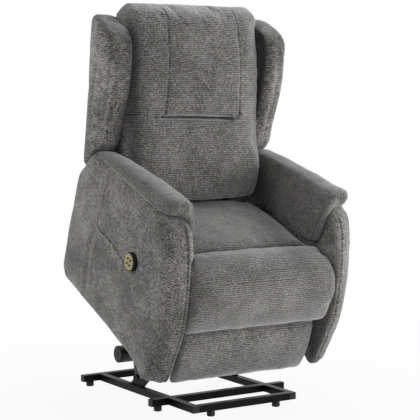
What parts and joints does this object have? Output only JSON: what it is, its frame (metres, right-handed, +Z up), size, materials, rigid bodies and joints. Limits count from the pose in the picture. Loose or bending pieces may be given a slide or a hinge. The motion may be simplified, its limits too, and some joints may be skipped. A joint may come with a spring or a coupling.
{
  "type": "lift recliner chair",
  "caption": "Upholstered lift recliner raised on its open steel linkage, with winged back, padded arms, folding footrest and a handset on the arm.",
  "frame": {"origin": "centre of the raised chair's footprint on the floor", "axes": "+Z up from the floor, -Y the way the sitter faces, +X to the sitter's left"},
  "size_m": [0.8036, 0.8395, 1.4337],
  "materials": {
    "black_steel": "satin powder coat",
    "black_plastic": "matte",
    "gold_face": "satin metallic film",
    "side_fabric": "chenille with a fine cross weave",
    "front_fabric": "chenille with a fine cross weave",
    "link_steel": "black zinc plated",
    "motor_grey": "black cover",
    "rod_chrome": "ground",
    "board_black": "satin powder coat"
  },
  "bodies": {
    "base": {"base_rail_left": "black_steel", "base_rail_right": "black_steel", "front_cross_bar": "black_steel", "middle_cross_bar": "black_steel", "outrigger_stubs": "black_steel", "rear_cross_bar": "black_steel", "tube_end_caps": "black_plastic", "feet": "black_plastic", "lift_tower_left": "black_steel", "lift_tower_right": "black_steel", "motor_clevis": "black_steel"},
    "lift_arms": {"lift_arm_left": "link_steel", "lift_arm_right": "link_steel", "lift_torque_tube": "black_steel"},
    "guide_arm_left": {"guide_arm_left": "link_steel"},
    "guide_arm_right": {"guide_arm_right": "link_steel"},
    "rear_link_left": {"rear_link_left": "link_steel"},
    "rear_link_right": {"rear_link_right": "link_steel"},
    "lift_actuator": {"lift_motor": "motor_grey", "lift_motor_cap": "black_plastic", "lift_actuator_tube": "black_steel"},
    "lift_rod": {"lift_actuator_rod": "rod_chrome"},
    "seat_body": {"side_plate_left": "black_steel", "side_plate_right": "black_steel", "seat_frame": "black_steel", "seat_springs": "link_steel", "side_panel_left": "side_fabric", "side_panel_right": "side_fabric", "arm_pad_left": "front_fabric", "arm_pad_right": "front_fabric", "seat_cushion": "front_fabric", "seat_roll": "front_fabric", "rear_panel": "front_fabric", "handset_housing": "black_plastic", "handset_face": "gold_face"},
    "footrest_arms": {"footrest_arm_left": "link_steel", "footrest_arm_right": "link_steel", "footrest_torque_tube": "black_steel"},
    "footrest_link_left": {"footrest_link_left": "link_steel"},
    "footrest_link_right": {"footrest_link_right": "link_steel"},
    "footrest_stay_left": {"footrest_stay_left": "link_steel"},
    "footrest_stay_right": {"footrest_stay_right": "link_steel"},
    "tilt_link_left": {"footrest_tilt_link_left": "link_steel"},
    "tilt_link_right": {"footrest_tilt_link_right": "link_steel"},
    "drive_link_left": {"back_drive_link_left": "link_steel"},
    "drive_link_right": {"back_drive_link_right": "link_steel"},
    "footrest_board": {"footrest_board": "board_black", "footrest_pad": "front_fabric"},
    "recline_actuator": {"recline_actuator": "motor_grey"},
    "recline_rod": {"recline_rod": "rod_chrome"},
    "back": {"back_frame": "black_steel", "back_cushion": "front_fabric", "wing_left": "side_fabric", "wing_right": "side_fabric", "back_cover": "front_fabric"},
    "button_lift_up": {"button_lift_up": "black_plastic"},
    "button_lift_down": {"button_lift_down": "black_plastic"},
    "button_recline": {"button_recline": "black_plastic"},
    "button_return": {"button_return": "black_plastic"}
  },
  "joints": [
    {"name": "lift", "type": "hinge", "parent": "base", "child": "lift_arms", "pos_m": [0.0058, -0.0492, 0.185], "axis": [1, 0, 0], "range_deg": [-53.24, 0]},
    {"name": "seat_tilt", "type": "hinge", "parent": "lift_arms", "child": "seat_body", "pos_m": [0.0058, 0.15688, 0.3556], "axis": [1, 0, 0], "range_deg": [0, 29.29]},
    {"name": "guide_arm_left_pivot", "type": "hinge", "parent": "base", "child": "guide_arm_left", "pos_m": [0.2238, -0.0942, 0.17], "axis": [1, 0, 0], "range_deg": [-62.63, 0]},
    {"name": "rear_link_left_pivot", "type": "hinge", "parent": "base", "child": "rear_link_left", "pos_m": [0.1998, 0.1458, 0.066], "axis": [1, 0, 0], "range_deg": [-65.95, 0]},
    {"name": "guide_arm_right_pivot", "type": "hinge", "parent": "base", "child": "guide_arm_right", "pos_m": [-0.2122, -0.0942, 0.17], "axis": [1, 0, 0], "range_deg": [-62.63, 0]},
    {"name": "rear_link_right_pivot", "type": "hinge", "parent": "base", "child": "rear_link_right", "pos_m": [-0.1882, 0.1458, 0.066], "axis": [1, 0, 0], "range_deg": [-65.95, 0]},
    {"name": "lift_actuator_pivot", "type": "hinge", "parent": "base", "child": "lift_actuator", "pos_m": [0.0058, 0.4028, 0.062], "axis": [1, 0, 0], "range_deg": [-2.84, 0]},
    {"name": "lift_actuator_stroke", "type": "slide", "parent": "lift_actuator", "child": "lift_rod", "axis": [0, -0.9008, 0.4343], "range_m": [-0.096, 0]},
    {"name": "recline", "type": "hinge", "parent": "seat_body", "child": "back", "pos_m": [0.0058, 0.20824, 0.6828], "axis": [-1, 0, 0], "range_deg": [0, 32]},
    {"name": "footrest_arm_pivot", "type": "hinge", "parent": "seat_body", "child": "footrest_arms", "pos_m": [0.0058, -0.13497, 0.39645], "axis": [-1, 0, 0], "range_deg": [0, 85.8]},
    {"name": "footrest_link_left_pivot", "type": "hinge", "parent": "footrest_arms", "child": "footrest_link_left", "pos_m": [0.2478, -0.00508, 0.251], "axis": [-1, 0, 0], "range_deg": [-81.25, 0]},
    {"name": "footrest_stay_left_pivot", "type": "hinge", "parent": "seat_body", "child": "footrest_stay_left", "pos_m": [0.2548, -0.18199, 0.41601], "axis": [-1, 0, 0], "range_deg": [0, 86.16]},
    {"name": "tilt_link_left_pivot", "type": "hinge", "parent": "footrest_stay_left", "child": "tilt_link_left", "pos_m": [0.2618, -0.03111, 0.2566], "axis": [-1, 0, 0], "range_deg": [-79.95, 0]},
    {"name": "drive_link_left_pivot", "type": "hinge", "parent": "footrest_arms", "child": "drive_link_left", "pos_m": [0.2478, -0.13317, 0.37054], "axis": [-1, 0, 0], "range_deg": [-88.92, 0]},
    {"name": "footrest_link_right_pivot", "type": "hinge", "parent": "footrest_arms", "child": "footrest_link_right", "pos_m": [-0.2362, -0.00508, 0.251], "axis": [-1, 0, 0], "range_deg": [-81.25, 0]},
    {"name": "footrest_stay_right_pivot", "type": "hinge", "parent": "seat_body", "child": "footrest_stay_right", "pos_m": [-0.2432, -0.18199, 0.41601], "axis": [-1, 0, 0], "range_deg": [0, 86.16]},
    {"name": "tilt_link_right_pivot", "type": "hinge", "parent": "footrest_stay_right", "child": "tilt_link_right", "pos_m": [-0.2502, -0.03111, 0.2566], "axis": [-1, 0, 0], "range_deg": [-79.95, 0]},
    {"name": "drive_link_right_pivot", "type": "hinge", "parent": "footrest_arms", "child": "drive_link_right", "pos_m": [-0.2362, -0.13317, 0.37054], "axis": [-1, 0, 0], "range_deg": [-88.92, 0]},
    {"name": "footrest_board_pivot", "type": "hinge", "parent": "footrest_link_left", "child": "footrest_board", "pos_m": [0.0058, -0.20349, 0.22582], "axis": [-1, 0, 0], "range_deg": [0, 68.64]},
    {"name": "recline_actuator_pivot", "type": "hinge", "parent": "seat_body", "child": "recline_actuator", "pos_m": [0.1008, 0.20583, 0.47922], "axis": [-1, 0, 0], "range_deg": [0, 2]},
    {"name": "recline_actuator_stroke", "type": "slide", "parent": "recline_actuator", "child": "recline_rod", "axis": [0, -0.9412, -0.3378], "range_m": [0, 0.05909]},
    {"name": "button_lift_up_press", "type": "slide", "parent": "seat_body", "child": "button_lift_up", "axis": [1, 0, 0], "range_m": [0, 0.0012], "stiffness_N_per_m": 600, "springref_m": -0.0015},
    {"name": "button_lift_down_press", "type": "slide", "parent": "seat_body", "child": "button_lift_down", "axis": [1, 0, 0], "range_m": [0, 0.0012], "stiffness_N_per_m": 600, "springref_m": -0.0015},
    {"name": "button_recline_press", "type": "slide", "parent": "seat_body", "child": "button_recline", "axis": [1, 0, 0], "range_m": [0, 0.0012], "stiffness_N_per_m": 600, "springref_m": -0.0015},
    {"name": "button_return_press", "type": "slide", "parent": "seat_body", "child": "button_return", "axis": [1, 0, 0], "range_m": [0, 0.0012], "stiffness_N_per_m": 600, "springref_m": -0.0015}
  ],
  "couplings": [
    {"joint": "seat_tilt", "follows": "lift", "ratio": -0.54925},
    {"joint": "guide_arm_left_pivot", "follows": "lift", "ratio": 1.1753},
    {"joint": "rear_link_left_pivot", "follows": "lift", "ratio": 1.2377},
    {"joint": "guide_arm_right_pivot", "follows": "lift", "ratio": 1.1753},
    {"joint": "rear_link_right_pivot", "follows": "lift", "ratio": 1.2377},
    {"joint": "lift_actuator_pivot", "follows": "lift", "ratio": 0.052363},
    {"joint": "lift_actuator_stroke", "follows": "lift", "m_per_rad": 0.1031},
    {"joint": "footrest_arm_pivot", "follows": "recline", "ratio": 2.6797},
    {"joint": "footrest_link_left_pivot", "follows": "recline", "ratio": -2.5375},
    {"joint": "footrest_stay_left_pivot", "follows": "recline", "ratio": 2.691},
    {"joint": "tilt_link_left_pivot", "follows": "recline", "ratio": -2.4967},
    {"joint": "drive_link_left_pivot", "follows": "recline", "ratio": -2.7773},
    {"joint": "footrest_link_right_pivot", "follows": "recline", "ratio": -2.5375},
    {"joint": "footrest_stay_right_pivot", "follows": "recline", "ratio": 2.691},
    {"joint": "tilt_link_right_pivot", "follows": "recline", "ratio": -2.4967},
    {"joint": "drive_link_right_pivot", "follows": "recline", "ratio": -2.7773},
    {"joint": "footrest_board_pivot", "follows": "recline", "ratio": 2.1435},
    {"joint": "recline_actuator_pivot", "follows": "recline", "ratio": 0.060827},
    {"joint": "recline_actuator_stroke", "follows": "recline", "m_per_rad": 0.10545}
  ]
}
